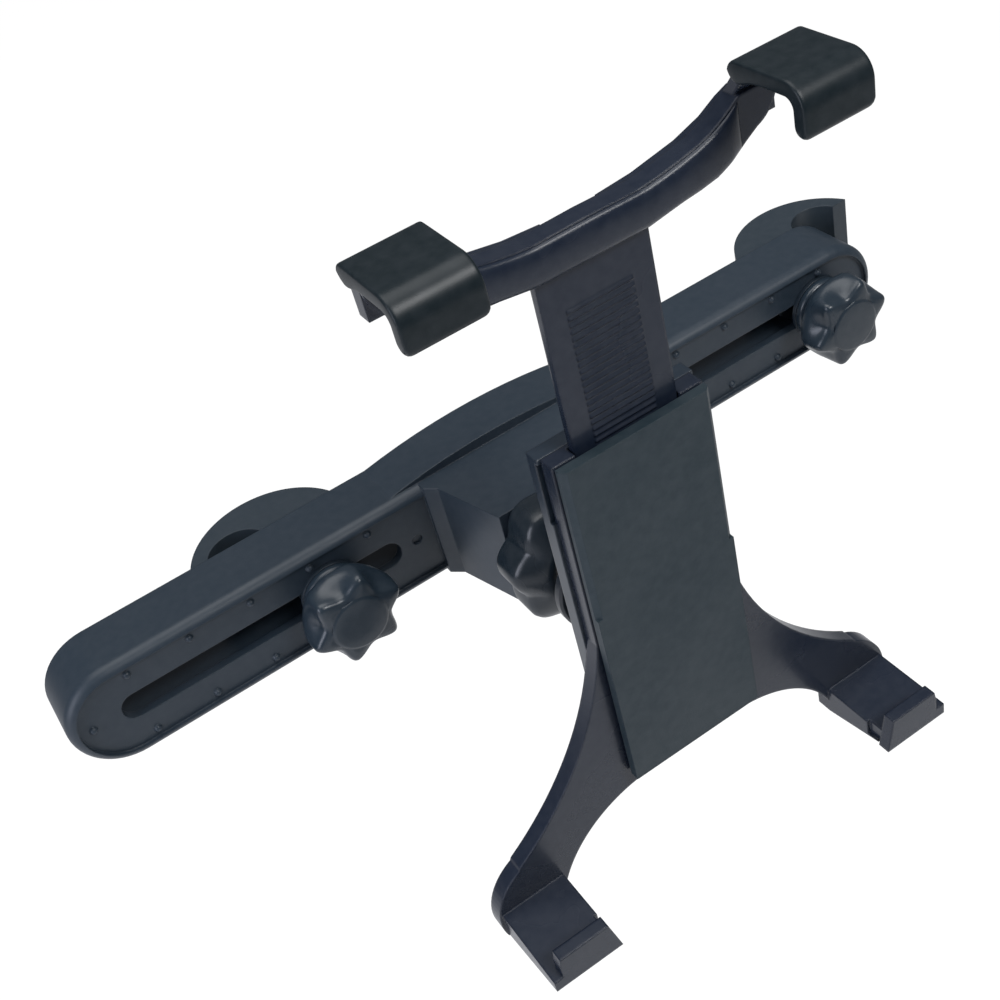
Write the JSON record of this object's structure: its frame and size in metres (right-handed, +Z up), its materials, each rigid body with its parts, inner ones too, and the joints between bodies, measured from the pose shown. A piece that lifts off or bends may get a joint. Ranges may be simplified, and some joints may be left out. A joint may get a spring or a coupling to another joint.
{
  "type": "headrest tablet mount",
  "caption": "Slotted rail that clamps to two headrest posts, with a ball joint and a telescopic cradle that grips a tablet.",
  "frame": {"origin": "middle of the rail's rear plane, at half its height", "axes": "+X to the right along the rail, +Y back towards the headrest, +Z up"},
  "size_m": [0.2521, 0.119, 0.1849],
  "materials": {
    "rail_plastic": "satin",
    "hook_plastic": "satin",
    "bolt_steel": "zinc plated",
    "washer_plastic": "satin",
    "knob_plastic": "satin",
    "insert_brass": "turned",
    "nut_plastic": "satin",
    "ball_plastic": "smooth",
    "pad_nylon": "smooth",
    "disc_plastic": "satin",
    "screw_steel": "zinc plated",
    "shell_plastic": "satin",
    "leg_plastic": "satin",
    "cover_plastic": "fine texture",
    "arm_plastic": "satin",
    "cap_rubber": "soft",
    "spring_steel": "bright"
  },
  "bodies": {
    "rail": {"rail": "rail_plastic"},
    "left_clamp": {"left_washer": "washer_plastic"},
    "left_knob": {"left_knob": "knob_plastic", "left_knob_insert": "insert_brass"},
    "left_hook": {"left_post_hook": "hook_plastic", "left_hook_bolt": "bolt_steel"},
    "right_clamp": {"right_washer": "washer_plastic"},
    "right_knob": {"right_knob": "knob_plastic", "right_knob_insert": "insert_brass"},
    "right_hook": {"right_post_hook": "hook_plastic", "right_hook_bolt": "bolt_steel"},
    "clamp_nut": {"clamp_nut": "nut_plastic"},
    "rear_pad": {"rear_pad": "pad_nylon"},
    "front_pad": {"front_pad": "pad_nylon"},
    "cradle": {"ball_stud": "ball_plastic", "stud_disc": "disc_plastic", "stud_screw": "screw_steel", "rear_shell": "shell_plastic", "leg_plate": "leg_plastic", "front_cover": "cover_plastic", "case_screws": "screw_steel", "detent_spring": "spring_steel"},
    "arm": {"sliding_arm": "arm_plastic", "left_hook_cap": "cap_rubber", "right_hook_cap": "cap_rubber"}
  },
  "joints": [
    {"name": "left_clamp_slide", "type": "slide", "parent": "rail", "child": "left_clamp", "axis": [1, 0, 0], "range_m": [-0.0532, 0.016]},
    {"name": "left_knob_turn", "type": "hinge", "parent": "left_clamp", "child": "left_knob", "pos_m": [-0.0523, -0.025, 0], "axis": [0, -1, 0], "range_deg": [0, 3060]},
    {"name": "left_hook_draw", "type": "slide", "parent": "left_clamp", "child": "left_hook", "axis": [0, 1, 0], "range_m": [0, 0.0085]},
    {"name": "right_clamp_slide", "type": "slide", "parent": "rail", "child": "right_clamp", "axis": [1, 0, 0], "range_m": [-0.0665, 0.0027]},
    {"name": "right_knob_turn", "type": "hinge", "parent": "right_clamp", "child": "right_knob", "pos_m": [0.1028, -0.025, 0], "axis": [0, -1, 0], "range_deg": [0, 3060]},
    {"name": "right_hook_draw", "type": "slide", "parent": "right_clamp", "child": "right_hook", "axis": [0, 1, 0], "range_m": [0, 0.0085]},
    {"name": "nut_turn", "type": "hinge", "parent": "rail", "child": "clamp_nut", "pos_m": [0, -0.047, 0], "axis": [0, -1, 0], "range_deg": [0, 120]},
    {"name": "ball_pan", "type": "hinge", "parent": "rail", "child": "rear_pad", "pos_m": [0, -0.047, 0], "axis": [0, 0, 1], "range_deg": [-15, 15]},
    {"name": "ball_tilt", "type": "hinge", "parent": "rear_pad", "child": "front_pad", "pos_m": [0, -0.047, 0], "axis": [1, 0, 0], "range_deg": [-15, 15]},
    {"name": "ball_spin", "type": "hinge", "parent": "front_pad", "child": "cradle", "pos_m": [0, -0.047, 0], "axis": [0, 1, 0], "continuous": true},
    {"name": "arm_slide", "type": "slide", "parent": "cradle", "child": "arm", "axis": [0, 0, 1], "range_m": [-0.036, 0.028]}
  ],
  "couplings": [
    {"joint": "left_hook_draw", "follows": "left_knob_turn", "m_per_rad": 0.00015915},
    {"joint": "right_hook_draw", "follows": "right_knob_turn", "m_per_rad": 0.00015915}
  ]
}
